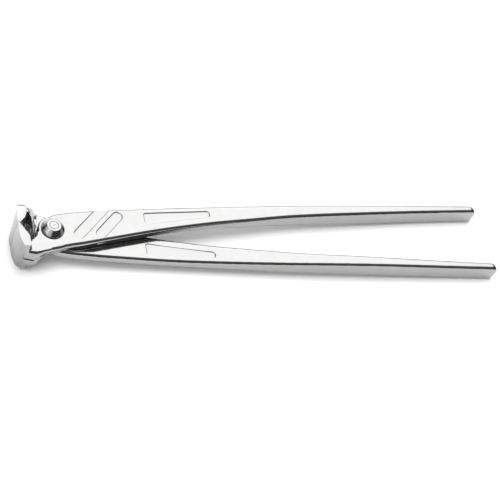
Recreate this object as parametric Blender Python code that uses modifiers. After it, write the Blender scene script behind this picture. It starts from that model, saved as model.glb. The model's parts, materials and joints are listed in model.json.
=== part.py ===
"""Rebar tying pliers: two forged levers with end-cutting jaws, riveted together in a lap joint.

Metres, +Z up. The tool lies flat with its handles towards +X. The pivot axis is parallel to Z, and
each lever is modelled in its own frame, whose origin is on that axis in the middle of the joint's
thickness. The origin of the whole is at the middle of the underside of the bounding box.
"""
import math

import bmesh
import bpy
from mathutils import Matrix, Vector

mm = 0.001

# Driving dimensions

joint_thickness = 12 * mm       # both lap plates together, and each handle at its end
lap_gap = 0.3 * mm              # between the two lap plates
running_gap = 0.3 * mm          # round the rivet's shank and under its heads
jaw_gap = 0.3 * mm              # between the closed cutting edges
overrun = 2 * mm                # how far a cutter runs past what it cuts
weld_distance = 0.001 * mm      # between points that are taken as one

rivet_head_radius = 6.35 * mm
rivet_top_radius = 3.85 * mm
rivet_head_height = 3.3 * mm
rivet_rim_height = 0.4 * mm     # cylindrical rim under the cone
rivet_ring_radius = 2.4 * mm    # ring pressed into the head's flat top
rivet_ring_depth = 0.3 * mm
rivet_shank_radius = 4 * mm
rivet_tail_radius = 5.6 * mm
rivet_tail_height = 1.6 * mm

boss_rim = 1.55 * mm            # lap plate left outside the rivet's head
pocket_gap = 1.2 * mm           # between a lever's round end and the other's neck
pocket_wall = 1.9 * mm          # neck left between that gap and the throat
throat_length = 3.5 * mm        # from the neck to the back of the jaws
jaw_depth = 5.5 * mm            # from the back of a jaw to its front
jaw_width = 23.8 * mm           # length of the cutting edge
near_jaw_reach = 14.5 * mm      # from the cutting edge to the jaw's outer side
far_jaw_reach = 12.8 * mm
jaw_edge_radius = 0.5 * mm      # rounding of a jaw's outer corner on the lever's outer face
jaw_corner_radius = 2.9 * mm    # rounding of its other outer corner, also seen from the front
shoulder_height = 9.4 * mm      # the neck where it runs into the back of a jaw, from the mid-plane
shoulder_step = 1.3 * mm        # length of the steep shoulder over the lap plate
shoulder_slope = 5.2 * mm       # length of the long shoulder on the other side
shoulder_rounding = 8.6 * mm    # of the neck's outer corner on that other side
neck_reach = 15.7 * mm          # from the mid-line to the neck's outer side
neck_end = 6.2 * mm             # from the pivot to the end of the neck's half below the lap
neck_overlap = 3 * mm           # how far that half reaches up into the lap plate's forging

plate_near = 13 * mm            # lap plate on the jaw's side of the pivot
plate_far = 10 * mm             # lap plate on the handle's side of the pivot

handle_reach = 280.6 * mm       # from the pivot to the handle's end
handle_spread = 21.6 * mm       # from the mid-line to the middle of the handle's end
handle_root_width = 20.4 * mm
edge_rounding = 1.4 * mm        # of the handle's edges and the plate's outer ones
end_rounding_length = 5 * mm    # of the handle's end, seen from the side
end_above_height = 8 * mm       # of that rounding on the side that lies up, and on the other
end_below_height = 0.8 * mm
boss_rounding = 0.5 * mm
lap_draft = 0.9 * mm            # how far the lap plate's near side leans in at the lap
boss_step = 0.1 * mm            # how far the plate's round end is ground below the plate's faces
ramp_start = 62 * mm            # from the pivot to where a handle starts to thicken
ramp_end = 214 * mm             # from the pivot to where it has its full thickness

panel_depth = 0.4 * mm
panel_corner = 1.5 * mm
handle_panel_start = 53 * mm
handle_panel_end = 93 * mm
handle_panel_margin = 3.6 * mm  # from the handle's outer edge to the panel
handle_panel_wide = 7.6 * mm
handle_panel_narrow = 3.9 * mm
slant_panel_angle = math.radians(46.5)
first_panel_along = 12.6 * mm   # from the pivot to the middle of its lower end
first_panel_across = 4.7 * mm
first_panel_width = 6.1 * mm
first_panel_length = 31 * mm    # runs out at the plate's far edge
first_panel_corner = 2.2 * mm
second_panel_along = 24.7 * mm
second_panel_across = 4.4 * mm
second_panel_width = 5.9 * mm
second_panel_length = 21.5 * mm

# Where the handle's middle line and width stand, as shares of their own sizes
handle_station_shares = (0.107, 0.214, 0.321, 0.429, 0.536, 0.714, 0.857)
handle_middle_shares = (0.174, 0.366, 0.523, 0.648, 0.757, 0.87, 0.944)
handle_width_shares = (0.975, 0.777, 0.62, 0.52, 0.424, 0.34, 0.287)
handle_end_share = 0.25
end_rounding_share = 0.4        # of a section's width, the most its corners are rounded
end_angles = (80, 10)           # degrees round the handle's end, where it narrows
ramp_power_share = 1.5

# Derived sizes

half_joint = joint_thickness / 2
half_lap = lap_gap / 2
half_jaw = jaw_width / 2
boss_radius = rivet_head_radius + boss_rim
pocket_radius = boss_radius + pocket_gap
throat_x = -(pocket_radius + pocket_wall)
jaw_back = throat_x - throat_length
jaw_front = jaw_back - jaw_depth
bore_radius = rivet_shank_radius + running_gap

half_end = handle_root_width * handle_end_share / 2

# A jaw seen from above: depth from its back as shares of jaw_depth, reach from the cutting edge
jaw_front_shares = ((0.975, 0), (0.985, 0.06), (1, 0.2), (0.985, 0.42), (0.93, 0.62), (0.83, 0.8),
                    (0.7, 0.95))
jaw_side_shares = ((0.6, 1), (0, 1))
near_throat_shares = ((0, 0.58), (0.145, 0.47), (0.345, 0.33), (0.53, 0.18), (0.64, 0.09), (0.73, 0.03))
far_throat_shares = ((0, 0.5), (0.16, 0.31), (0.3, 0.22), (0.45, 0.15), (0.6, 0.06), (0.7, 0.02))
jaw_overlap_share = 0.25        # of jaw_depth, how far the neck runs into the jaw

# The forging's outline seen from above. Neck: shares of the throat's distance and of neck_reach
neck_side_shares = ((1.32, 0.96), (1, 1), (0.81, 0.98), (0.61, 0.93))
# The lap plate's edges: shares of boss_radius and of plate_near or plate_far
plate_near_shares = ((-0.57, 1.085), (0, 1), (0.57, 0.923), (0.85, 0.862))
plate_far_shares = ((2.48, 1.27), (1.39, 1.18), (0.456, 1.05), (0.05, 0.94))
lap_draft_shares = ((-3, 0), (-0.78, 0), (-0.6, 1), (1.3, 1), (2, 0), (40, 0))   # and of lap_draft
# The throat: shares of throat_length behind the neck and of pocket_radius
throat_shares = ((0, 0.45), (0, 0), (0, -0.5), (0.5, -0.89), (1, -0.98))
neck_root_share = 0.7           # of the near jaw's reach: the neck's throat side inside the jaw
neck_core_share = 0.85          # of the neck's side and the plate's near edge: the solid inside them
neck_below_share = 0.985        # of the neck's side: how far out its half below the lap reaches
boss_core_share = 0.85          # of boss_radius: what the round end's cutter leaves inside the boss
plate_start_angle = 105         # degrees round the pivot, where the plate's far edge leaves the boss
neck_core_angle = 150           # where the neck's core meets the boss
round_end_angle = 120           # to where the round end's cutter runs, from the neck's side
pocket_angle = -143             # where the gap round the other lever's end starts
pocket_side_share = 2           # of neck_reach, how far out that gap's cutter runs
# The gap round the other lever's end, and its wall's foot at the lap: shares of pocket_radius
pocket_foot_shares = ((-0.65, -1.73), (-0.67, -1.37), (-0.725, -1.03), (-0.77, -0.8))
pocket_leans = (0.52, 0.52, 0.44, 0.36)   # at each point of that foot, for each length of height
pocket_inner_shares = ((-1.06, 0.2), (-1.145, 0.46), (-1.145, 1))
# Where the lap plate's round end runs into the throat: shares of boss_radius
round_end_shares = ((-1.5, -0.94), (-1.24, -0.67), (-1.11, -0.46), (-1.03, -0.24))
# The long shoulder: shares of shoulder_slope and of the shoulder's height over the lap plate
shoulder_shares = ((1, 0), (0.88, 0.07), (0.75, 0.35), (0.6, 0.7), (0.36, 0.94), (0, 1))
second_panel_corner_share = 0.49    # of second_panel_width
# The rivet's tail: shares of its radius and height
rivet_tail_shares = ((0.94, 0.55), (0.7, 0.9), (0.35, 1))

arc_steps = 10
corner_steps = 5
curve_steps = 5
round_sides = 40
crease_angle = 30               # degrees between two faces from which their edge is sharp


def polar(radius, degrees):
    """Point on a circle round the pivot."""
    angle = math.radians(degrees)
    return radius * math.cos(angle), radius * math.sin(angle)


def arc(radius, start, end):
    """Points along an arc round the pivot, from one angle to another in degrees."""
    turn = (end - start) / arc_steps
    return [polar(radius, start + turn * step) for step in range(arc_steps + 1)]


def smooth_run(points):
    """Points along a smooth curve through the points given (Catmull-Rom)."""
    ends = [points[0]] + list(points) + [points[-1]]
    run = []
    for before, start, end, after in zip(ends, ends[1:], ends[2:], ends[3:]):
        for step in range(curve_steps):
            t = step / curve_steps
            run.append(tuple(
                0.5 * (2 * b + (c - a) * t + (2 * a - 5 * b + 4 * c - d) * t ** 2
                       + (3 * b - a - 3 * c + d) * t ** 3)
                for a, b, c, d in zip(before, start, end, after)))
    return run + [tuple(points[-1])]


def collection(name):
    made = bpy.data.collections.new(name)
    bpy.context.scene.collection.children.link(made)
    return made


def material(name, colour, roughness):
    """A bare metal."""
    made = bpy.data.materials.new(name)
    made.use_nodes = True
    shader = made.node_tree.nodes["Principled BSDF"]
    shader.inputs["Base Color"].default_value = (*colour, 1)
    shader.inputs["Roughness"].default_value = roughness
    shader.inputs["Metallic"].default_value = 1
    made.diffuse_color = (*colour, 1)
    return made


def solid_from(obj, name):
    """A mesh object of what obj evaluates to, in place of obj.

    Its loose caps are welded, and the slits a Boolean leaves in a flat face are filled.
    """
    bpy.context.view_layer.update()
    evaluated = obj.evaluated_get(bpy.context.evaluated_depsgraph_get())
    mesh = bpy.data.meshes.new_from_object(evaluated)
    made = bpy.data.objects.new(name, mesh)
    made.matrix_world = obj.matrix_world.copy()
    obj.users_collection[0].objects.link(made)
    bpy.data.objects.remove(obj)
    shape = bmesh.new()
    shape.from_mesh(mesh)
    bmesh.ops.remove_doubles(shape, verts=shape.verts, dist=weld_distance)
    slits = [edge for edge in shape.edges if edge.is_boundary]
    bmesh.ops.holes_fill(shape, edges=slits, sides=3)
    bmesh.ops.recalc_face_normals(shape, faces=shape.faces)
    shape.to_mesh(mesh)
    shape.free()
    return made


def shares_of(table, width, height):
    """A table's pairs of shares as points."""
    return [(width * along, height * across) for along, across in table]


def prism(name, points, low, high, where, along="Z", rounding=0):
    """A flat outline pulled from low to high along Z, or along Y or X, with its ends' edges rounded.

    The points are X and Y, or X and Z along Y, or Y and Z along X.
    """
    curve = bpy.data.curves.new(name, "CURVE")
    curve.dimensions = "2D"
    curve.fill_mode = "BOTH"
    curve.extrude = (high - low) / 2 - rounding
    curve.bevel_depth = rounding
    curve.bevel_resolution = 2
    curve.offset = -rounding
    spline = curve.splines.new("POLY")
    spline.points.add(len(points) - 1)
    for place, (x, y) in zip(spline.points, points):
        place.co = (x, y, 0, 1)
    spline.use_cyclic_u = True
    flat = bpy.data.objects.new(name, curve)
    where.objects.link(flat)
    turns = {"X": (math.pi / 2, 0, math.pi / 2), "Y": (math.pi / 2, 0, 0), "Z": (0, 0, 0)}
    flat.rotation_euler = turns[along]
    flat.location["XYZ".index(along)] = (high + low) / 2
    return solid_from(flat, name)


def combine(target, tool, operation):
    """Joins, cuts or intersects target with tool by a Boolean that stays on target."""
    step = target.modifiers.new(tool.name, "BOOLEAN")
    step.operation = operation
    step.solver = "EXACT"
    step.object = tool
    tool.hide_render = True
    tool.display_type = "WIRE"


def loft(name, sections, where):
    """A solid through a row of closed sections, each with the same number of points."""
    shape = bmesh.new()
    rings = [[shape.verts.new(point) for point in section] for section in sections]
    for ring, after in zip(rings, rings[1:]):
        for index, vert in enumerate(ring):
            shape.faces.new((ring[index - 1], vert, after[index], after[index - 1]))
    shape.faces.new(rings[0])
    shape.faces.new(rings[-1])
    bmesh.ops.recalc_face_normals(shape, faces=shape.faces)
    mesh = bpy.data.meshes.new(name)
    shape.to_mesh(mesh)
    shape.free()
    made = bpy.data.objects.new(name, mesh)
    where.objects.link(made)
    return made


def ramp_height(x):
    """Height of the handle's inner face at x: at the lap, then down to the joint's underside."""
    rise = min(max((x - ramp_start) / (ramp_end - ramp_start), 0), 1)
    share = math.sin(math.pi / 2 * rise) ** ramp_power_share
    return half_lap - (half_lap + half_joint) * share


def handle_edges():
    """Points of the handle's inner and outer edge, seen from above."""
    inner, outer = [], []
    for along, middle, width in zip(handle_station_shares, handle_middle_shares, handle_width_shares):
        x = handle_reach * along
        half = handle_root_width * width / 2
        inner.append((x, handle_spread * middle - half))
        outer.append((x, handle_spread * middle + half))
    return inner, outer


def plate_edges():
    """Points of the forging's near and far edge from the neck to the handle, seen from above."""
    inner, outer = handle_edges()
    centre = handle_reach - half_end
    near = smooth_run([
        *shares_of(neck_side_shares, throat_x, -neck_reach),
        *shares_of(plate_near_shares, boss_radius, -plate_near), *inner,
        (centre, handle_spread - half_end)])
    far = smooth_run([
        polar(boss_radius, plate_start_angle),
        *reversed(shares_of(plate_far_shares, boss_radius, plate_far)), *outer,
        (centre, handle_spread + half_end)])
    return near, far


def level(run, x):
    """Y at x on a run of points."""
    after = next((index for index, place in enumerate(run) if place[0] >= x and index), len(run) - 1)
    (x0, y0), (x1, y1) = run[after - 1], run[after]
    return y0 + (y1 - y0) * (x - x0) / (x1 - x0)


def lever_sections(end_top, end_bottom):
    """Rounded sections from inside the jaw to the handle's end: neck side, lap plate and handle.

    The lengths are the heights of the end's rounding on the lever's outer and inner face.
    """
    near, far = plate_edges()
    plate_start = far[0][0] - lap_gap
    core = -plate_near * neck_core_share
    inside_jaw = jaw_back - jaw_depth * jaw_overlap_share
    spans = [(inside_jaw, near[0][1], core)]
    spans += [(x, y, core) for x, y in near if x < plate_start]
    spans += [(plate_start, level(near, plate_start), core)]
    spans += [(x, level(near, x), y) for x, y in far]
    draft = shares_of(lap_draft_shares, boss_radius, lap_draft)
    centre = handle_reach - half_end
    spans += [(centre + x, handle_spread - across, handle_spread + across)
              for x, across in arc(half_end, *end_angles)]
    return [rounded_section(x, near_y, far_y, level(draft, x), end_top, end_bottom)
            for x, near_y, far_y in spans]


def rounded_section(x, near, far, draft, end_top, end_bottom):
    """One section of the lever, its near side leaning in by the draft below."""
    past = max(x - handle_reach + end_rounding_length, 0) / end_rounding_length
    sunk = 1 - math.sqrt(1 - past ** 2)
    high = half_joint - end_top * sunk
    low = (ramp_height(x) if x > throat_x + half_lap else -half_joint) + end_bottom * sunk
    rounding = min(edge_rounding, (far - near) * end_rounding_share)
    corners = [(near + draft, low), (far, low), (far, high), (near, high)]
    return [(x, y, z) for y, z in rounded(corners, rounding)]


def neck_outline():
    """The neck's solid core between the throat and the boss, seen from above."""
    side = [(x, y * neck_core_share) for x, y in shares_of(neck_side_shares, throat_x, -neck_reach)]
    throat = smooth_run([(throat_x - back, across) for back, across in
                         shares_of(throat_shares, throat_length, pocket_radius)])
    inside_jaw = jaw_back - jaw_depth * jaw_overlap_share
    return [(inside_jaw, side[0][1]), *side, (-lap_gap, -plate_near * neck_core_share), (-lap_gap, 0),
            polar(boss_radius * boss_core_share, neck_core_angle),
            *shares_of(pocket_inner_shares[1:2], pocket_radius, pocket_radius),
            *throat, (inside_jaw, -near_jaw_reach * neck_root_share)]


def neck_side_outline():
    """The neck's outer side below the lap plate, seen from above."""
    side = [(x, y * neck_below_share) for x, y in shares_of(neck_side_shares, throat_x, -neck_reach)]
    inside_jaw = jaw_back - jaw_depth * jaw_overlap_share
    core = -plate_near * neck_core_share
    return [(inside_jaw, side[0][1]), *side, (-neck_end, side[-1][1]), (-neck_end, core), (inside_jaw, core)]


def side_outline():
    """The neck seen from the side: X and Z, with its shoulders."""
    inside_jaw = jaw_back - jaw_depth * jaw_overlap_share
    rise = shares_of(shoulder_shares, shoulder_slope, shoulder_height - half_joint)
    return [
        (inside_jaw, shoulder_height), (jaw_back, shoulder_height),
        (jaw_back + shoulder_step, half_joint), (overrun, half_joint), (overrun, -half_joint),
        *[(jaw_back + ahead, -half_joint - over) for ahead, over in rise],
        (inside_jaw, -shoulder_height)]


def shoulder_outline():
    """What is cut from the neck's outer corner below the lap, seen along X: Y and Z."""
    middle = Vector((shoulder_rounding - neck_reach, shoulder_rounding - shoulder_height))
    corner = [tuple(middle + Vector(place)) for place in arc(shoulder_rounding, 180, 270)]
    beyond = -neck_reach - overrun, -shoulder_height - overrun
    return [(beyond[0], middle.y), *corner, (middle.x, beyond[1]), beyond]


def pocket_section(z):
    """Room for the other lever's round end, cut from the neck's lower half: its outline at z."""
    foot = shares_of(pocket_foot_shares, pocket_radius, pocket_radius)
    wall = [(x - lean * (half_lap - z), y) for (x, y), lean in zip(foot, pocket_leans)]
    outline = [
        (0, -neck_reach * pocket_side_share), (wall[0][0], -neck_reach * pocket_side_share), *wall,
        *arc(pocket_radius, pocket_angle, -180),
        *shares_of(pocket_inner_shares, pocket_radius, pocket_radius), (0, pocket_radius)]
    return [(x, y, z) for x, y in outline]


def round_end_outline():
    """What is cut from the neck's upper half, which leaves the lap plate's round end."""
    return [
        *smooth_run(shares_of(round_end_shares, boss_radius, boss_radius)),
        *arc(boss_radius * boss_core_share, 180, round_end_angle), (jaw_back, pocket_radius),
        (jaw_back, -boss_radius)]


def jaw_outline(reach, jaw_throat_shares):
    """The jaw, seen from above, from its cutting edge round the front to the throat."""
    edge = -jaw_gap / 2
    shares = jaw_front_shares + jaw_side_shares + jaw_throat_shares
    return [(jaw_back - jaw_depth * depth, edge - (reach + edge) * out) for depth, out in shares]


def rounded(corners, *radii):
    """An outline with its corners replaced by arcs, of one radius or of one for each corner."""
    points = []
    count = len(corners)
    for index, corner in enumerate(corners):
        radius = radii[index % len(radii)]
        here = Vector(corner)
        back = (Vector(corners[index - 1]) - here).normalized()
        ahead = (Vector(corners[(index + 1) % count]) - here).normalized()
        half = back.angle(ahead) / 2
        centre = here + (back + ahead).normalized() * radius / math.sin(half)
        start = here + back * radius / math.tan(half) - centre
        sweep = start.angle_signed(here + ahead * radius / math.tan(half) - centre)
        for step in range(corner_steps + 1):
            turned = Matrix.Rotation(-sweep * step / corner_steps, 2) @ start
            points.append(tuple(centre + turned))
    return points


def slant_panel(x, y, length, width, corner):
    """Outline of a panel that leans along the lap plate, from the middle of its lower end."""
    along = Vector((math.cos(slant_panel_angle), math.sin(slant_panel_angle)))
    side = Vector((along.y, -along.x)) * width / 2
    low = Vector((x, y))
    high = low + along * length
    return rounded([tuple(low - side), tuple(low + side), tuple(high + side), tuple(high - side)], corner)


def handle_panel():
    """Corners of the tapered panel along the handle's outer edge."""
    far = plate_edges()[1]
    start, end = (level(far, x) - handle_panel_margin for x in (handle_panel_start, handle_panel_end))
    return rounded([
        (handle_panel_start, start - handle_panel_wide), (handle_panel_end, end - handle_panel_narrow),
        (handle_panel_end, end), (handle_panel_start, start)], panel_corner)


def forge_lever(name, reach, jaw_throat_shares, end_heights, parts, cutters):
    """One lever in its own frame: jaw on the -Y side, handle on the +Y side, outer face at +Z."""
    tall = shoulder_height + overrun
    body = prism(name + "_neck", neck_outline(), -tall, tall, parts)
    jaw = prism(name + "_jaw", jaw_outline(reach, jaw_throat_shares), -half_jaw - overrun,
                half_jaw + overrun, cutters)
    front = rounded([(-reach, -half_jaw), (overrun, -half_jaw), (overrun, half_jaw), (-reach, half_jaw)],
                    jaw_corner_radius, jaw_edge_radius, jaw_edge_radius, jaw_edge_radius)
    combine(jaw, prism(name + "_jaw_front", front, jaw_front - overrun, jaw_back + overrun, cutters,
                       along="X"), "INTERSECT")
    boss = prism(name + "_boss", arc_circle(boss_radius), half_lap + boss_step, half_joint - boss_step,
                 cutters, rounding=boss_rounding)
    for tool, operation in (
            (prism(name + "_neck_side", neck_side_outline(), -tall, neck_overlap, cutters), "UNION"),
            (prism(name + "_side", side_outline(), -neck_reach, neck_reach, cutters, along="Y"),
             "INTERSECT"),
            (loft(name + "_pocket", [pocket_section(-tall), pocket_section(half_lap)], cutters),
             "DIFFERENCE"),
            (prism(name + "_round_end", round_end_outline(), -half_lap, tall, cutters), "DIFFERENCE"),
            (loft(name + "_plate", lever_sections(*end_heights), cutters), "UNION"),
            (boss, "UNION"),
            (prism(name + "_shoulder", shoulder_outline(), jaw_front, lap_gap, cutters, along="X"),
             "DIFFERENCE"),
            (jaw, "UNION")):
        combine(body, tool, operation)

    tilt = math.atan2(ramp_height(handle_panel_end) - ramp_height(handle_panel_start),
                      handle_panel_end - handle_panel_start)
    bore = prism(name + "_bore", arc_circle(bore_radius), -half_joint - overrun, half_joint + overrun,
                 cutters)
    floor, above = half_joint - panel_depth, half_joint + overrun
    first = prism(name + "_first_panel",
                  slant_panel(first_panel_along, -first_panel_across, first_panel_length,
                              first_panel_width, first_panel_corner), floor, above, cutters)
    second = prism(name + "_second_panel",
                   slant_panel(second_panel_along, -second_panel_across, second_panel_length,
                               second_panel_width, second_panel_width * second_panel_corner_share),
                   floor, above, cutters)
    outer = prism(name + "_outer_panel", handle_panel(), floor, above, cutters)
    inner = prism(name + "_inner_panel", handle_panel(), -overrun, panel_depth, cutters)
    start = Vector((handle_panel_start, 0, 0))
    lift = Vector((0, 0, ramp_height(handle_panel_start)))
    inner.matrix_world = (Matrix.Translation(start + lift) @ Matrix.Rotation(-tilt, 4, "Y")
                          @ Matrix.Translation(-start) @ inner.matrix_world)
    for cutter in (bore, first, second, outer, inner):
        combine(body, cutter, "DIFFERENCE")
    return solid_from(body, name)


def arc_circle(radius):
    """A full circle round the pivot."""
    return [polar(radius, 360 * side / round_sides) for side in range(round_sides)]


def turn_rivet(name, where):
    """The rivet: a profile turned about the pivot axis, from its top down."""
    seat = half_joint + running_gap
    top = seat + rivet_head_height
    foot = -seat - rivet_tail_height
    ring_inner = rivet_ring_radius - rivet_ring_depth
    profile = [
        (0, top), (ring_inner - rivet_ring_depth, top), (ring_inner, top - rivet_ring_depth),
        (rivet_ring_radius, top - rivet_ring_depth), (rivet_ring_radius + rivet_ring_depth, top),
        (rivet_top_radius, top), (rivet_head_radius, seat + rivet_rim_height), (rivet_head_radius, seat),
        (rivet_shank_radius, seat), (rivet_shank_radius, -seat), (rivet_tail_radius, -seat),
        *[(out, -seat - down) for out, down in
          shares_of(rivet_tail_shares, rivet_tail_radius, rivet_tail_height)],
        (0, foot)]
    mesh = bpy.data.meshes.new(name)
    mesh.from_pydata([(x, 0, z) for x, z in profile],
                     [(index, index + 1) for index in range(len(profile) - 1)], [])
    rivet = bpy.data.objects.new(name, mesh)
    where.objects.link(rivet)
    turn = rivet.modifiers.new("turned", "SCREW")
    turn.steps = turn.render_steps = round_sides
    turn.use_merge_vertices = True
    turn.merge_threshold = weld_distance
    return rivet


def pivot_empty(name, where, place):
    empty = bpy.data.objects.new(name, None)
    empty.empty_display_size = rivet_head_radius
    empty.location = place
    where.objects.link(empty)
    return empty


def finish(obj, parent, look, turned=False):
    """Places a piece on its joint's axis and gives it its material."""
    obj.parent = parent
    if turned:
        obj.rotation_euler = (math.pi, 0, 0)
    obj.data.materials.clear()
    obj.data.materials.append(look)
    obj.data.shade_smooth()
    obj.data.set_sharp_from_angle(angle=math.radians(crease_angle))


def main():
    for obj in list(bpy.data.objects):
        bpy.data.objects.remove(obj)
    parts = collection("rebar_tying_pliers")
    cutters = collection("cutters")
    plated = material("plated_forging", (0.80, 0.80, 0.79), 0.3)
    polished = material("polished_rivet", (0.72, 0.72, 0.72), 0.18)

    pivot = pivot_empty("pivot", parts, (-(handle_reach + jaw_front) / 2, 0, half_jaw))
    finish(forge_lever("front_lever", near_jaw_reach, near_throat_shares,
                       (end_above_height, end_below_height), parts, cutters), pivot, plated)
    finish(forge_lever("rear_lever", far_jaw_reach, far_throat_shares,
                       (end_below_height, end_above_height), parts, cutters), pivot, plated, turned=True)
    finish(turn_rivet("joint_rivet", parts), pivot, polished)


main()
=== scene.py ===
import json
import math

import bmesh
import bpy
from mathutils import Matrix, Vector


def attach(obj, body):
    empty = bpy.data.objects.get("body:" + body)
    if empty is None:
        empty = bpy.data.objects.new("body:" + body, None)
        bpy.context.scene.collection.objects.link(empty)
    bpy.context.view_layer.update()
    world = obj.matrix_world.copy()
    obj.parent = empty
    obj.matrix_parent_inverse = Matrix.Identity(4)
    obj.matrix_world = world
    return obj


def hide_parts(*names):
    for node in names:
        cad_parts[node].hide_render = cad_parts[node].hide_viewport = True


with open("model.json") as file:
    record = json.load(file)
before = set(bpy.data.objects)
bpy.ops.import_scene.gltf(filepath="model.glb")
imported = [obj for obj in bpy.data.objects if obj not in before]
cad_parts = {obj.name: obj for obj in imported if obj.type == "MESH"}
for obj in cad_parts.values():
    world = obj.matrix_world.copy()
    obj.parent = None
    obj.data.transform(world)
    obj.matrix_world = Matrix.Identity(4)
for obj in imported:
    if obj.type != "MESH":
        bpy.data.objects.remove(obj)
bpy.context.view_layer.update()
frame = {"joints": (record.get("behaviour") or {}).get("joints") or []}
print("frame loaded")

# Shapes are modelled in millimetres round the joint's axis, then brought to metres and into place
toMetres = 0.001
pivotPlace = Vector(frame["joints"][0]["pos_m"])
weldDistance = 0.001  # in millimetres
sharpAngle = 32  # an edge that bends more, in degrees, is shaded sharp

# Small tools for outlines and meshes


def polar(radius, degrees):
    angle = math.radians(degrees)
    return radius * math.cos(angle), radius * math.sin(angle)


def arcPoints(radius, start, end, steps=24):
    return [polar(radius, start + (end - start) * step / steps) for step in range(steps + 1)]


def smoothRun(points, steps=10):  # a smooth curve through the points given
    ends = [points[0]] + list(points) + [points[-1]]
    run = []
    for before, start, end, after in zip(ends, ends[1:], ends[2:], ends[3:]):
        for step in range(steps):
            t = step / steps
            run.append(tuple(
                0.5 * (2 * b + (c - a) * t + (2 * a - 5 * b + 4 * c - d) * t ** 2
                       + (3 * b - a - 3 * c + d) * t ** 3)
                for a, b, c, d in zip(before, start, end, after)))
    return run + [tuple(points[-1])]


def sharesOf(table, width, height):
    return [(width * along, height * across) for along, across in table]


def levelAt(run, x):  # Y at x on a run of points
    last = len(run) - 1
    after = next((index for index in range(1, last) if run[index][0] >= x), last)
    (x0, y0), (x1, y1) = run[after - 1], run[after]
    return y0 + (y1 - y0) * (x - x0) / (x1 - x0)


def roundedCorners(corners, radius, steps=8):
    points = []
    for index, corner in enumerate(corners):
        here = Vector(corner)
        back = (Vector(corners[index - 1]) - here).normalized()
        ahead = (Vector(corners[(index + 1) % len(corners)]) - here).normalized()
        half = back.angle(ahead) / 2
        centre = here + (back + ahead).normalized() * radius / math.sin(half)
        start = here + back * radius / math.tan(half) - centre
        sweep = start.angle_signed(here + ahead * radius / math.tan(half) - centre)
        for step in range(steps + 1):
            points.append(tuple(centre + Matrix.Rotation(-sweep * step / steps, 2) @ start))
    return points


def grownCorners(corners, grow):  # a polygon's corners after each side moves out, or in below zero
    grown = []
    for index, corner in enumerate(corners):
        here = Vector(corner)
        back = (here - Vector(corners[index - 1])).normalized()
        ahead = (Vector(corners[(index + 1) % len(corners)]) - here).normalized()
        outBack = Vector((back.y, -back.x))
        outAhead = Vector((ahead.y, -ahead.x))
        grown.append(tuple(here + (outBack + outAhead) * grow / (1 + outBack.dot(outAhead))))
    return grown


def meshObject(name, shape):
    mesh = bpy.data.meshes.new(name)
    shape.to_mesh(mesh)
    shape.free()
    made = bpy.data.objects.new(name, mesh)
    bpy.context.scene.collection.objects.link(made)
    return made


def loft(name, sections, look=0, endLook=None):  # a closed solid through rings of equal counts
    shape = bmesh.new()
    rings = [[shape.verts.new(point) for point in section] for section in sections]
    for ring, after in zip(rings, rings[1:]):
        for index, vert in enumerate(ring):
            shape.faces.new((ring[index - 1], vert, after[index], after[index - 1]))
    for face in shape.faces:
        face.material_index = look
    for ring in (rings[0], rings[-1]):
        shape.faces.new(ring).material_index = look if endLook is None else endLook
    bmesh.ops.triangulate(shape, faces=[face for face in shape.faces if len(face.verts) > 4])
    bmesh.ops.recalc_face_normals(shape, faces=shape.faces)
    return meshObject(name, shape)


# A prism's points are X, Y, or X, Z where it runs along Y, or Y, Z where it runs along X
def prism(name, points, low, high, along="Z", look=0):
    place = {
        "Z": lambda a, b, c: (a, b, c),
        "Y": lambda a, b, c: (a, c, b),
        "X": lambda a, b, c: (c, a, b)}[along]
    return loft(name, [[place(a, b, end) for a, b in points] for end in (low, high)], look)


def combine(body, tool, operation, solver="EXACT"):
    step = body.modifiers.new(tool.name, "BOOLEAN")
    step.operation = operation
    step.solver = solver
    step.object = tool


def applied(body):  # the body with its modifiers made real; their cutters are removed
    tools = [step.object for step in body.modifiers if step.type == "BOOLEAN"]
    bpy.context.view_layer.update()
    finished = body.evaluated_get(bpy.context.evaluated_depsgraph_get())
    mesh = bpy.data.meshes.new_from_object(finished)
    body.modifiers.clear()
    body.data = mesh
    for tool in tools:
        bpy.data.objects.remove(tool)
    return body


def healed(body):  # its loose points are welded, and the slits a Boolean leaves are filled
    shape = bmesh.new()
    shape.from_mesh(body.data)
    bmesh.ops.remove_doubles(shape, verts=shape.verts, dist=weldDistance)
    bmesh.ops.holes_fill(shape, edges=[edge for edge in shape.edges if edge.is_boundary], sides=8)
    shape.to_mesh(body.data)
    shape.free()


# Shader maths


class Wire:  # a socket that can be used in sums
    def __init__(self, shade, socket):
        self.shade = shade
        self.socket = socket

    def maths(self, operation, first, second):
        return self.shade.node("ShaderNodeMath", {"operation": operation}, {0: first, 1: second})

    def __add__(self, other):
        return self.maths("ADD", self, other)

    def __radd__(self, other):
        return self.maths("ADD", other, self)

    def __sub__(self, other):
        return self.maths("SUBTRACT", self, other)

    def __rsub__(self, other):
        return self.maths("SUBTRACT", other, self)

    def __mul__(self, other):
        return self.maths("MULTIPLY", self, other)

    def __rmul__(self, other):
        return self.maths("MULTIPLY", other, self)


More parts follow.
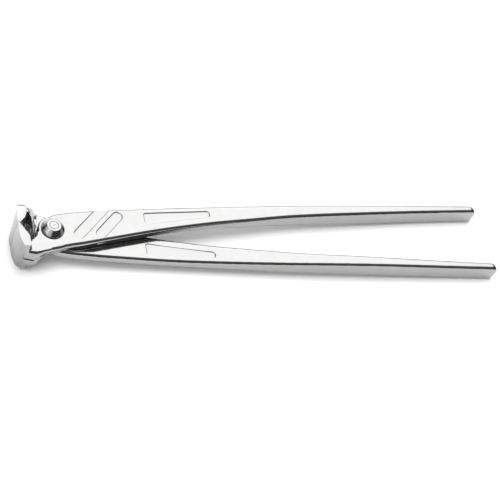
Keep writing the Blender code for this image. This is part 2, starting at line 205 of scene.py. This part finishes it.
class Shade:  # the nodes of one material or of the world
    def __init__(self, owner):
        owner.use_nodes = True
        self.tree = owner.node_tree

    def node(self, kind, settings=None, sockets=None, output=0):
        made = self.tree.nodes.new(kind)
        for name, value in (settings or {}).items():
            setattr(made, name, value)
        for name, value in (sockets or {}).items():
            self.feed(made.inputs[name], value)
        return Wire(self, made.outputs[output])

    def feed(self, socket, value):
        if isinstance(value, Wire):
            self.tree.links.new(value.socket, socket)
        else:
            socket.default_value = value

    def shader(self, sockets):
        principled = self.tree.nodes["Principled BSDF"]
        for name, value in sockets.items():
            self.feed(principled.inputs[name], value)

    def millimetres(self, stretch=(1, 1, 1)):  # places on the piece in millimetres, stretched
        place = self.node("ShaderNodeTexCoord", output="Object")
        scale = tuple(share / toMetres for share in stretch)
        return self.node("ShaderNodeVectorMath", {"operation": "MULTIPLY"}, {0: place, 1: scale})

    def noise(self, size, detail, stretch=(1, 1, 1), harshness=0.5):  # 0 to 1, lumps size mm large
        return self.node("ShaderNodeTexNoise", None, {
            "Vector": self.millimetres(stretch), "Scale": 1 / size, "Detail": detail,
            "Roughness": harshness})


# Finishes, with their sizes and depths in millimetres

plating = {
    "tone": 0.36, "mottle": 0.035, "roughness": 0.12, "roughnessSpread": 0.05,
    "lumpSize": 5, "lumpDetail": 3, "lumpDepth": 0.02,
    "grainSize": 0.5, "grainDetail": 2, "grainDepth": 0.0012}
grinding = {
    "tone": 0.33, "mottle": 0.11, "roughness": 0.3, "roughnessSpread": 0.12,
    "lineSize": 0.3, "lineLength": 14, "lineDetail": 4, "lineHarshness": 0.7, "lineDepth": 0.005}
stamping = {
    "tone": 0.36, "mottle": 0.04, "roughness": 0.22, "roughnessSpread": 0.1,
    "grainSize": 0.7, "grainDetail": 4, "grainDepth": 0.006}
turning = {
    "tone": 0.38, "mottle": 0.03, "roughness": 0.2, "roughnessSpread": 0.06,
    "ringSize": 0.09, "ringDetail": 2, "ringDepth": 0.0008}
blueShare = 0.994  # the metal's blue against its red and green


def metal(shade, p, patches, height, depth):  # p is the finish, depth what a height of 1 stands for
    colour = p["tone"] - p["mottle"] * 0.5 + patches * p["mottle"]
    spread = p["roughnessSpread"]
    shade.shader({
        "Base Color": shade.node(
            "ShaderNodeCombineColor", None, {0: colour, 1: colour, 2: colour * blueShare}),
        "Metallic": 1.0,
        "Roughness": p["roughness"] - spread * 0.5 + patches * spread,
        "Normal": shade.node("ShaderNodeBump", None, {
            "Height": height, "Distance": depth * toMetres, "Strength": 1.0})})


def newShade(name):
    material = bpy.data.materials.new(name)
    return material, Shade(material)


def platedForging():
    material, shade = newShade("platedForging")
    p = plating
    lumps = shade.noise(p["lumpSize"], p["lumpDetail"])
    grain = shade.noise(p["grainSize"], p["grainDetail"])
    height = lumps + grain * (p["grainDepth"] / p["lumpDepth"])
    metal(shade, p, lumps, height, p["lumpDepth"])
    return material


def groundFace():
    material, shade = newShade("groundFace")
    p = grinding
    along = p["lineSize"] / p["lineLength"]
    lines = shade.noise(p["lineSize"], p["lineDetail"], (along, along, 1), p["lineHarshness"])
    metal(shade, p, lines, lines, p["lineDepth"])
    return material


def panelFloor():
    material, shade = newShade("panelFloor")
    p = stamping
    grain = shade.noise(p["grainSize"], p["grainDetail"])
    metal(shade, p, grain, grain, p["grainDepth"])
    return material


def turnedRivet():
    material, shade = newShade("turnedRivet")
    p = turning
    place = shade.node("ShaderNodeTexCoord", output="Object")
    centred = shade.node("ShaderNodeVectorMath", {"operation": "SUBTRACT"},
                         {0: place, 1: tuple(pivotPlace)})
    flat = shade.node("ShaderNodeVectorMath", {"operation": "MULTIPLY"},
                      {0: centred, 1: (1 / toMetres, 1 / toMetres, 0)})
    radius = shade.node("ShaderNodeVectorMath", {"operation": "LENGTH"}, {0: flat}, "Value")
    rings = shade.node("ShaderNodeTexNoise", {"noise_dimensions": "1D"}, {
        "W": radius, "Scale": 1 / p["ringSize"], "Detail": p["ringDetail"]})
    metal(shade, p, rings, rings, p["ringDepth"])
    return material


looks = [platedForging(), groundFace(), panelFloor()]
platedLook, groundLook, panelLook = range(len(looks))
print("finishes made")

# The two levers: each is modelled with its jaw towards -Y, its handle towards +Y, outer face up

forging = {
    "halfJoint": 6, "halfLap": 0.15, "overrun": 2, "jawGap": 0.3,
    "bossRadius": 7.9, "bossStep": 0.1, "bossSides": 72, "pocketRadius": 9.1,
    "boreRadius": 4.3, "boreSides": 96,
    "throatX": -11, "throatLength": 3.5, "jawDepth": 5.5, "jawWidth": 23.8,
    "shoulderHeight": 9.4, "shoulderStep": 1.3, "shoulderSlope": 5.2,
    "neckReach": 15.7, "neckEnd": 6.2, "neckOverlap": 3, "neckClear": 0.3,
    "plateNear": 13, "plateFar": 10, "plateLead": 0.3, "lapDraft": 0.9,
    "handleReach": 280.58, "handleSpread": 21.6, "handleRootWidth": 20.4,
    "edgeRounding": 1.8, "edgeLimit": 0.4,  # the limit is a share of a section's width
    "endLength": 5, "endAbove": 8, "endBelow": 0.8,
    "rampStart": 62, "rampEnd": 214, "rampEase": 1.5,
    "grindStock": 0.5,  # left on the jaw's ground faces before they are ground
    "voxel": 0.4, "smoothing": 4}

# Tables of points, as shares of the sizes that they follow: along the lever, then across or up
jawFront = (
    (0.975, 0), (0.985, 0.06), (1, 0.2), (0.985, 0.42), (0.93, 0.62), (0.83, 0.8), (0.7, 0.95))
jawFrontBelow = (
    (0.88, 0), (0.885, 0.06), (0.885, 0.2), (0.85, 0.4), (0.74, 0.6), (0.58, 0.78), (0.2, 0.92))
jawSide = ((0.6, 1), (0, 1))
neckSide = ((1.32, 0.96), (1, 1), (0.81, 0.98), (0.61, 0.93))
plateNearEdge = ((-0.57, 1.085), (0, 1), (0.57, 0.923), (0.85, 0.862))
plateFarEdge = ((2.48, 1.27), (1.39, 1.18), (0.456, 1.05), (0.05, 0.94))
lapDrafts = ((-3, 0), (-0.78, 0), (-0.6, 1), (1.3, 1), (2, 0), (40, 0))
throatBack = ((0, 0.45), (0, 0), (0, -0.5), (0.5, -0.89), (1, -0.98))
pocketFoot = ((-0.65, -1.73), (-0.67, -1.37), (-0.725, -1.03), (-0.77, -0.8))
pocketInner = ((-1.06, 0.2), (-1.145, 0.46), (-1.145, 1))
roundEnd = ((-1.5, -0.94), (-1.24, -0.67), (-1.11, -0.46), (-1.03, -0.24))
shoulder = ((1, 0), (0.88, 0.07), (0.75, 0.35), (0.6, 0.7), (0.36, 0.94), (0, 1))

# Other shares: the handle's of its reach, spread and root width, the rest of their own part's sizes
handleStations = (0.107, 0.214, 0.321, 0.429, 0.536, 0.714, 0.857)
handleMiddles = (0.174, 0.366, 0.523, 0.648, 0.757, 0.87, 0.944)
handleWidths = (0.975, 0.777, 0.62, 0.52, 0.424, 0.34, 0.287)
handleEnd = 0.25
neckRoot, neckCore, neckBelow, bossCore = 0.7, 0.85, 0.985, 0.85
jawInside, jawCheek, heelInside = 0.25, 0.3, 0.6
pocketLeans = (0.52, 0.52, 0.44, 0.36)  # the wall's lean at each point of its foot, per millimetre

# Arcs round the joint's axis, or round the handle's end, in degrees
plateFarTurn, neckTurn = 105, 150
pocketTurns, roundEndTurns, handleEndTurns = (-143, -180), (180, 120), (86, 4)

# Each jaw's own sizes; its neck's corner is rounded by a radius at each length from the jaw's tip
frontJaw = {
    "reach": 14.5, "heel": 1.6, "heelTop": -6.5, "corner": (3.6, 1.5),
    "throat": ((0, 0.58), (0.145, 0.47), (0.345, 0.33), (0.53, 0.18), (0.64, 0.09), (0.73, 0.03)),
    "shoulderRoundings": ((0, 5), (20, 5))}
rearJaw = {
    "reach": 12.8, "heel": 0.2, "heelTop": -10, "corner": (2.9, 2.9),
    "throat": ((0, 0.5), (0.16, 0.31), (0.3, 0.22), (0.45, 0.15), (0.6, 0.06), (0.7, 0.02)),
    "shoulderRoundings": ((0, 7.6), (6.4, 7.6), (8.6, 9), (10.9, 11.5), (12.6, 14.5), (20, 14.5))}

f = forging
jawBack = f["throatX"] - f["throatLength"]
jawTip = jawBack - f["jawDepth"]
halfJaw = f["jawWidth"] / 2
halfEnd = f["handleRootWidth"] * handleEnd / 2
endCentre = f["handleReach"] - halfEnd
insideJaw = jawBack - f["jawDepth"] * jawInside


def rampHeight(x):  # the handle's inner face: at the lap, then down to the underside
    rise = min(max((x - f["rampStart"]) / (f["rampEnd"] - f["rampStart"]), 0), 1)
    share = math.sin(math.pi / 2 * rise) ** f["rampEase"]
    return f["halfLap"] - (f["halfLap"] + f["halfJoint"]) * share


def plateEdges():  # near and far edge from the neck to the handle's end, seen from above
    inner, outer = [], []
    for along, middle, width in zip(handleStations, handleMiddles, handleWidths):
        half = f["handleRootWidth"] * width / 2
        inner.append((f["handleReach"] * along, f["handleSpread"] * middle - half))
        outer.append((f["handleReach"] * along, f["handleSpread"] * middle + half))
    near = smoothRun([
        *sharesOf(neckSide, f["throatX"], -f["neckReach"]),
        *sharesOf(plateNearEdge, f["bossRadius"], -f["plateNear"]), *inner,
        (endCentre, f["handleSpread"] - halfEnd)])
    far = smoothRun([
        polar(f["bossRadius"], plateFarTurn),
        *reversed(sharesOf(plateFarEdge, f["bossRadius"], f["plateFar"])), *outer,
        (endCentre, f["handleSpread"] + halfEnd)])
    return near, far


def handleSection(x, near, far, draft, endTop, endBottom):
    past = max(x - f["handleReach"] + f["endLength"], 0) / f["endLength"]
    sunk = 1 - math.sqrt(1 - past ** 2)
    high = f["halfJoint"] - endTop * sunk
    low = (rampHeight(x) if x > f["throatX"] else -f["halfJoint"]) + endBottom * sunk
    corners = [(near + draft, low), (far, low), (far, high), (near, high)]
    radius = min(f["edgeRounding"], (far - near) * f["edgeLimit"])
    return [(x, y, z) for y, z in roundedCorners(corners, radius)]


def plateAndHandle(turned):  # the end is rounded most on the side that lies up
    near, far = plateEdges()
    plateStart = far[0][0] - f["plateLead"]
    core = -f["plateNear"] * neckCore
    spans = [(insideJaw, near[0][1], core)]
    spans += [(x, y, core) for x, y in near if x < plateStart]
    spans += [(plateStart, levelAt(near, plateStart), core)]
    spans += [(x, levelAt(near, x), y) for x, y in far]
    draft = sharesOf(lapDrafts, f["bossRadius"], f["lapDraft"])
    endTop, endBottom = f["endAbove"], f["endBelow"]
    if turned:
        endTop, endBottom = endBottom, endTop
    spans += [(endCentre + x, f["handleSpread"] - across, f["handleSpread"] + across)
              for x, across in arcPoints(halfEnd, *handleEndTurns, 20)]
    return loft("plateAndHandle", [
        handleSection(x, low, high, levelAt(draft, x), endTop, endBottom)
        for x, low, high in spans])


def neckSolid():
    side = [(x, y * neckCore) for x, y in sharesOf(neckSide, f["throatX"], -f["neckReach"])]
    throat = smoothRun([(f["throatX"] - back, across) for back, across in
                        sharesOf(throatBack, f["throatLength"], f["pocketRadius"])])
    outline = [(insideJaw, side[0][1]), *side,
               (-f["neckClear"], -f["plateNear"] * neckCore), (-f["neckClear"], 0),
               polar(f["bossRadius"] * bossCore, neckTurn),
               *sharesOf(pocketInner[1:2], f["pocketRadius"], f["pocketRadius"]),
               *throat, (insideJaw, -frontJaw["reach"] * neckRoot)]
    tall = f["shoulderHeight"] + f["overrun"]
    return prism("neck", outline, -tall, tall)


def neckSideBelow(tall):  # the neck reaches a little less far out below the lap
    side = [(x, y * neckBelow) for x, y in sharesOf(neckSide, f["throatX"], -f["neckReach"])]
    core = -f["plateNear"] * neckCore
    outline = [(insideJaw, side[0][1]), *side, (-f["neckEnd"], side[-1][1]), (-f["neckEnd"], core),
               (insideJaw, core)]
    return prism("neckSide", outline, -tall, f["neckOverlap"])


def sideEnvelope():  # the lever seen from the side, with its shoulders
    rise = sharesOf(shoulder, f["shoulderSlope"], f["shoulderHeight"] - f["halfJoint"])
    outline = [
        (insideJaw, f["shoulderHeight"]), (jawBack, f["shoulderHeight"]),
        (jawBack + f["shoulderStep"], f["halfJoint"]), (f["overrun"], f["halfJoint"]),
        (f["overrun"], -f["halfJoint"]),
        *[(jawBack + ahead, -f["halfJoint"] - over) for ahead, over in rise],
        (insideJaw, -f["shoulderHeight"])]
    return prism("side", outline, -f["neckReach"], f["neckReach"], "Y")


def pocketSection(z):
    deep = f["neckReach"] * 2
    foot = sharesOf(pocketFoot, f["pocketRadius"], f["pocketRadius"])
    wall = [(x - lean * (f["halfLap"] - z), y) for (x, y), lean in zip(foot, pocketLeans)]
    outline = [(0, -deep), (wall[0][0], -deep), *wall,
               *arcPoints(f["pocketRadius"], *pocketTurns),
               *sharesOf(pocketInner, f["pocketRadius"], f["pocketRadius"]),
               (0, f["pocketRadius"])]
    return [(x, y, z) for x, y in outline]


def pocketCutter(tall):  # room for the other lever's round end, wider below, for its wall leans
    return loft("pocket", [pocketSection(-tall), pocketSection(f["halfLap"])])


def roundEndCutter(tall):  # it frees the plate's own round end from the neck
    outline = [
        *smoothRun(sharesOf(roundEnd, f["bossRadius"], f["bossRadius"])),
        *arcPoints(f["bossRadius"] * bossCore, *roundEndTurns), (jawBack, f["pocketRadius"]),
        (jawBack, -f["bossRadius"])]
    return prism("roundEnd", outline, -f["halfLap"], tall)


def shoulderCutter(jaw):  # the neck's outer corner, rounded by a radius that varies along it
    beyond = -f["neckReach"] - f["overrun"], -f["shoulderHeight"] - f["overrun"]
    rings = []
    for past, rounding in smoothRun(jaw["shoulderRoundings"], 4):
        middle = Vector((rounding - f["neckReach"], rounding - f["shoulderHeight"]))
        corner = [tuple(middle + Vector(place)) for place in arcPoints(rounding, 180, 270)]
        outline = [(beyond[0], middle.y), *corner, (middle.x, beyond[1]), beyond]
        rings.append([(jawTip + past, y, z) for y, z in outline])
    return loft("shoulder", rings)


def jawOutline(jaw, stock, frontShares=jawFront):  # from the edge round the front to the throat
    edge = -f["jawGap"] / 2 + stock
    depth = f["jawDepth"] + stock
    front = smoothRun(frontShares, 6)
    return [(jawBack - depth * deep, edge - (jaw["reach"] + edge) * out)
            for deep, out in [*front, *jawSide, *jaw["throat"]]]


def jawSolid(jaw):  # forged with stock left on the faces that are ground
    stock = f["grindStock"]
    solid = prism("jaw", jawOutline(jaw, stock), -halfJaw - stock, halfJaw + stock)
    inner, behind = -jaw["reach"] * heelInside, jawBack + jaw["heel"]
    heel = [(insideJaw, -jaw["reach"]), (behind, -jaw["reach"]),
            (behind, inner), (insideJaw, inner)]
    combine(solid, prism("heel", heel, -halfJaw - stock, jaw["heelTop"]), "UNION")
    wide, high = jaw["corner"]
    corner = [(-jaw["reach"] + wide * (1 - across), -halfJaw + high * (1 - up))
              for across, up in arcPoints(1, 0, 90, 12)]
    tall = halfJaw + stock
    outline = [(-jaw["reach"], tall), *corner, (-jaw["reach"] + wide + stock, -tall),
               (f["overrun"], -tall), (f["overrun"], tall)]
    front = prism("jawFront", outline, jawTip - f["overrun"], jawBack + f["overrun"], "X")
    combine(solid, front, "INTERSECT")
    return solid


def grindingEnvelope(jaw, turned):  # all inside the jaw's ground front, cutting plane and cheeks
    edge = -f["jawGap"] / 2
    wide = f["handleReach"]
    middleOfThroat = jawBack + f["throatLength"] / 2
    rings = []
    for height, frontShares in ((-halfJaw, jawFrontBelow), (halfJaw, jawFront)):
        front = jawOutline(jaw, 0, frontShares)[:-len(jawSide) - len(jaw["throat"])]
        outline = [*front, (jawBack - f["jawDepth"] * jawCheek, -jaw["reach"] - f["overrun"]),
                   (jawBack, -wide), (wide * 2, -wide), (wide * 2, wide),
                   (middleOfThroat, wide), (middleOfThroat, edge)]
        rings.append([(x, y, -height if turned else height) for x, y in outline])
    return loft("grinding", rings, groundLook, platedLook)


parting = {  # the groove where the dies met, along the forging's side from the neck to the plate
    "levels": ((-17, -0.4), (-14.4, -0.5), (-12.5, -0.7), (-11, -0.9), (-9.6, -0.2), (-8.4, 1.2),
               (-7.2, 2.2), (-5.5, 2.9), (-2, 3.3), (4, 3.6), (12, 3.5), (22, 3.3), (30, 3.1)),
    "upperLip": 1.28, "bottom": 0.16, "lowerLip": -1.76,  # heights above the level
    "outside": 1, "deep": 0.75, "fade": 14}


def partingGroove():
    near = plateEdges()[0]
    p = parting
    rings = []
    for x, z in smoothRun(p["levels"], 4):
        side = levelAt(near, max(x, near[0][0]))
        bottom = side + p["deep"] * min(1, (p["levels"][-1][0] - x) / p["fade"])
        rings.append([(x, side - p["outside"], z + p["upperLip"]), (x, bottom, z + p["bottom"]),
                      (x, side - p["outside"], z + p["lowerLip"])])
    return loft("parting", rings)


panelShape = {  # the rim's profile: growth beyond the outline, and height in shares of the depth
    "depth": 0.5, "corner": 1.5,
    "profile": ((-0.34, -1), (-0.26, -0.98), (-0.19, -0.9), (-0.06, -0.45),
                (0.02, -0.17), (0.1, -0.05), (0.2, 0), (0.28, 0.12))}
slantPanels = (  # along and across place the middle of each one's lower end
    {"along": 12.6, "across": -4.7, "length": 31, "width": 6.1, "angle": 46.5, "corner": 2.2},
    {"along": 24.7, "across": -4.4, "length": 21.5, "width": 5.9, "angle": 46.5, "corner": 2.89})
handlePanel = {"start": 53, "end": 93, "margin": 3.6, "wide": 7.6, "narrow": 3.9}


def panelCutter(corners, radius):  # a panel sunk into the lever's outer face, with a rounded rim
    p = panelShape
    rings = [(grow, f["halfJoint"] + p["depth"] * high) for grow, high in p["profile"]]
    rings.append((rings[-1][0], f["halfJoint"] + f["overrun"]))
    return loft("panel", [
        [(x, y, z) for x, y in roundedCorners(grownCorners(corners, grow), radius + grow)]
        for grow, z in rings], panelLook)


def slantCorners(panel):
    along = Vector(polar(1, panel["angle"]))
    side = Vector((along.y, -along.x)) * panel["width"] / 2
    low = Vector((panel["along"], panel["across"]))
    high = low + along * panel["length"]
    return [tuple(low - side), tuple(low + side), tuple(high + side), tuple(high - side)]


def handleCorners():
    p = handlePanel
    far = plateEdges()[1]
    start, end = (levelAt(far, x) - p["margin"] for x in (p["start"], p["end"]))
    return [(p["start"], start - p["wide"]), (p["end"], end - p["narrow"]), (p["end"], end),
            (p["start"], start)]


def innerPanel():  # the same panel on the handle's inner face, which slopes
    p = handlePanel
    cutter = panelCutter(handleCorners(), panelShape["corner"])
    tilt = math.atan2(rampHeight(p["end"]) - rampHeight(p["start"]), p["end"] - p["start"])
    mirror = Matrix.Translation((0, 0, f["halfJoint"])) @ Matrix.Scale(-1, 4, (0, 0, 1))
    start = Vector((p["start"], 0, 0))
    lift = Vector((0, 0, rampHeight(p["start"])))
    cutter.data.transform(Matrix.Translation(start + lift) @ Matrix.Rotation(-tilt, 4, "Y")
                          @ Matrix.Translation(-start) @ mirror)
    cutter.data.flip_normals()
    return cutter


def lever(name, jaw, turned=False):
    tall = f["shoulderHeight"] + f["overrun"]
    body = neckSolid()
    body.name = name
    boss = prism("boss", arcPoints(f["bossRadius"], 0, 360, f["bossSides"])[:-1],
                 f["halfLap"] + f["bossStep"], f["halfJoint"] - f["bossStep"])
    for tool, operation in (
            (neckSideBelow(tall), "UNION"), (sideEnvelope(), "INTERSECT"),
            (pocketCutter(tall), "DIFFERENCE"), (roundEndCutter(tall), "DIFFERENCE"),
            (plateAndHandle(turned), "UNION"), (boss, "UNION"),
            (shoulderCutter(jaw), "DIFFERENCE"), (applied(jawSolid(jaw)), "UNION")):
        combine(body, tool, operation)
        healed(applied(body))

    remesh = body.modifiers.new("forged", "REMESH")
    remesh.mode = "VOXEL"
    remesh.voxel_size = f["voxel"]
    smooth = body.modifiers.new("eased", "SMOOTH")
    smooth.iterations = f["smoothing"]
    applied(body)

    for look in looks:
        body.data.materials.append(look)
    circle = arcPoints(f["boreRadius"], 0, 360, f["boreSides"])[:-1]
    bore = prism("bore", circle, -tall, tall, look=groundLook)
    cutters = [(grindingEnvelope(jaw, turned), "INTERSECT"), (partingGroove(), "DIFFERENCE"),
               (bore, "DIFFERENCE")]
    cutters += [(panelCutter(slantCorners(panel), panel["corner"]), "DIFFERENCE")
                for panel in slantPanels]
    cutters += [(panelCutter(handleCorners(), panelShape["corner"]), "DIFFERENCE"),
                (innerPanel(), "DIFFERENCE")]
    for cutter, operation in cutters:
        for look in looks:
            cutter.data.materials.append(look)
        combine(body, cutter, operation, "MANIFOLD")
    applied(body)
    settle(body, turned)
    return body


def settle(body, turned=False):  # millimetres round the axis to metres in place
    turn = Matrix.Rotation(math.pi if turned else 0, 4, "X")
    body.data.transform(Matrix.Translation(pivotPlace) @ turn @ Matrix.Scale(toMetres, 4))
    body.data.shade_smooth()
    body.data.set_sharp_from_angle(angle=math.radians(sharpAngle))


frontLever = lever("frontLever", frontJaw)
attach(frontLever, "front_lever")
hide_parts("front_lever")
print("front lever:", len(frontLever.data.polygons), "faces")

rearLever = lever("rearLever", rearJaw, turned=True)
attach(rearLever, "rear_lever")
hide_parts("rear_lever")
print("rear lever:", len(rearLever.data.polygons), "faces")

# The rivet

rivet = {
    "seat": 6.3, "headRadius": 6.35, "topRadius": 3.85, "headHeight": 3.3, "rimHeight": 0.3,
    "ringRadius": 2.4, "ringDepth": 0.11, "dotRadius": 0.5, "dotFloor": 0.6, "shankRadius": 4,
    "tailRadius": 5.6, "tailHeight": 1.6, "sides": 128,
    "ring": ((-0.35, 0), (-0.2, 0.4), (0, 1), (0.2, 0.4), (0.35, 0)),  # its depths as shares
    "crown": ((-0.3, 0), (-0.1, -0.06), (0.06, -0.25)),  # from the flat top's edge
    "rim": ((-0.18, 0.28), (-0.03, 0.06), (0, -0.1)),  # from the rim's upper edge
    "foot": ((0, 0.12), (-0.12, 0)),  # from the rim's lower edge
    "tail": ((1, 0), (0.99, 0.3), (0.94, 0.55), (0.85, 0.77), (0.7, 0.9), (0.35, 1), (0, 1.02))}


def rivetProfile():
    r = rivet
    top = r["seat"] + r["headHeight"]
    rim = r["seat"] + r["rimHeight"]
    floor = top - r["ringDepth"]
    dot = [(0, floor), (r["dotRadius"] * r["dotFloor"], floor), (r["dotRadius"], top)]
    ring = [(r["ringRadius"] + out, top - r["ringDepth"] * down) for out, down in r["ring"]]
    crown = [(r["topRadius"] + out, top + up) for out, up in r["crown"]]
    head = [(r["headRadius"] + out, rim + up) for out, up in r["rim"]]
    foot = [(r["headRadius"] + out, r["seat"] + up) for out, up in r["foot"]]
    shank = [(r["shankRadius"], r["seat"]), (r["shankRadius"], -r["seat"])]
    tail = [(r["tailRadius"] * out, -r["seat"] - r["tailHeight"] * down)
            for out, down in smoothRun(r["tail"], 4)]
    return dot + ring + crown + head + foot + shank + tail


def turnedRivetPiece():
    shape = bmesh.new()
    profile = [shape.verts.new((out, 0, z)) for out, z in rivetProfile()]
    edges = [shape.edges.new(pair) for pair in zip(profile, profile[1:])]
    bmesh.ops.spin(shape, geom=profile + edges, cent=(0, 0, 0), axis=(0, 0, 1), angle=math.tau,
                   steps=rivet["sides"], use_merge=True)
    bmesh.ops.remove_doubles(shape, verts=shape.verts, dist=weldDistance)
    bmesh.ops.recalc_face_normals(shape, faces=shape.faces)
    piece = meshObject("jointRivet", shape)
    piece.data.materials.append(turnedRivet())
    settle(piece)
    return piece


jointRivet = turnedRivetPiece()
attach(jointRivet, "rear_lever")
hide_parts("joint_rivet")
print("rivet made")

# Floor, light and camera

floorPlace = {  # in metres; it slopes, so that the jaws and the handles' ends both touch it
    "touchX": -0.1448, "slope": 0.0199, "size": 6, "tone": 0.9, "roughness": 0.9, "glow": 0.03}
sky = {  # directions of the soft boxes, how bright each is, and the cosines where its edge fades
    "overhead": {"towards": (0.28, 0.5, 0.8), "strength": 2.5, "fade": (0.83, 0.965)},
    "left": {"towards": (-0.93, -0.05, 0.36), "strength": 1.1, "fade": (0.8, 0.93)},
    "above": {"towards": (0.42, -0.5, 0.76), "strength": 0.12, "fade": (0.85, 0.985)},
    "behind": {"towards": (0.35, 0.93, 0.08), "strength": 1.0, "fade": (0.72, 0.9)},
    "front": {"towards": (-0.6, -0.58, 0.55), "strength": 1.1, "fade": (0.84, 0.95)},
    "dim": 0.06}  # the sky elsewhere
lamps = {  # they light the floor and dull surfaces, and metal doesn't mirror them
    "key": {"place": (-0.15, 0.1, 1.4), "size": 0.85, "power": 16},
    "fill": {"place": (-0.4, -0.8, 1.2), "size": 1.2, "power": 2.5}}


def sightedRay(shade):  # 1 for rays that show the floor itself or its image in metal or glass
    path = "ShaderNodeLightPath"
    seen = shade.node(path, output="Is Camera Ray") + shade.node(path, output="Is Glossy Ray")
    both = seen + shade.node(path, output="Is Transmission Ray")
    return shade.node("ShaderNodeMath", {"operation": "MINIMUM"}, {0: both, 1: 1.0})


def paleFloor():
    p = floorPlace
    shape = bmesh.new()
    bmesh.ops.create_grid(shape, x_segments=1, y_segments=1, size=p["size"] / 2)
    floor = meshObject("paleFloor", shape)
    floor.location = (p["touchX"], 0, 0)
    floor.rotation_euler = (0, -math.atan(p["slope"]), 0)
    material, shade = newShade("paleFloor")
    shade.shader({
        "Base Color": (p["tone"], p["tone"], p["tone"], 1), "Roughness": p["roughness"],
        "Specular IOR Level": 0.0, "Emission Color": (1, 1, 1, 1),
        "Emission Strength": sightedRay(shade) * p["glow"]})
    floor.data.materials.append(material)


def softSky():
    world = bpy.data.worlds.new("softSky")
    bpy.context.scene.world = world
    shade = Shade(world)
    towards = shade.node("ShaderNodeTexCoord", output="Generated")
    glow = sky["dim"]
    for box in (sky["overhead"], sky["left"], sky["above"], sky["behind"], sky["front"]):
        facing = shade.node("ShaderNodeVectorMath", {"operation": "DOT_PRODUCT"},
                            {0: towards, 1: tuple(Vector(box["towards"]).normalized())}, "Value")
        lit = shade.node("ShaderNodeMapRange", {"interpolation_type": "SMOOTHSTEP"}, {
            "Value": facing, "From Min": box["fade"][0], "From Max": box["fade"][1],
            "To Max": box["strength"]})
        glow = lit + glow
    camera = shade.node("ShaderNodeLightPath", output="Is Camera Ray")
    strength = glow * (1 - camera) + camera
    background = world.node_tree.nodes["Background"]
    shade.feed(background.inputs["Strength"], strength)
    background.inputs["Color"].default_value = (1, 1, 1, 1)


def softLamp(name, lamp):
    data = bpy.data.lights.new(name, "AREA")
    data.size = lamp["size"]
    data.energy = lamp["power"]
    made = bpy.data.objects.new(name, data)
    made.location = lamp["place"]
    made.rotation_euler = Vector(lamp["place"]).to_track_quat("Z", "Y").to_euler()
    made.visible_glossy = False
    bpy.context.scene.collection.objects.link(made)


view = {  # the camera's place in metres, and which way its right, its top and its back point
    "place": (-0.2997984, -0.3528582, 0.529831), "lens": 86.161, "sensor": 36, "near": 0.01,
    "right": (0.909, -0.22166, 0.35296), "up": (-0.01007, 0.83492, 0.55027),
    "back": (-0.41667, -0.50376, 0.75672)}


def photographersCamera():
    data = bpy.data.cameras.new("camera")
    data.lens = view["lens"]
    data.sensor_width = view["sensor"]
    data.clip_start = view["near"]
    camera = bpy.data.objects.new("camera", data)
    turn = Matrix((view["right"], view["up"], view["back"])).transposed().to_quaternion()
    camera.matrix_world = Matrix.Translation(view["place"]) @ turn.to_matrix().to_4x4()
    bpy.context.scene.collection.objects.link(camera)
    bpy.context.scene.camera = camera


paleFloor()
softSky()
for lampName, lampValues in lamps.items():
    softLamp(lampName, lampValues)
photographersCamera()
bpy.context.scene.view_settings.view_transform = "Standard"
print("floor, light and camera set")
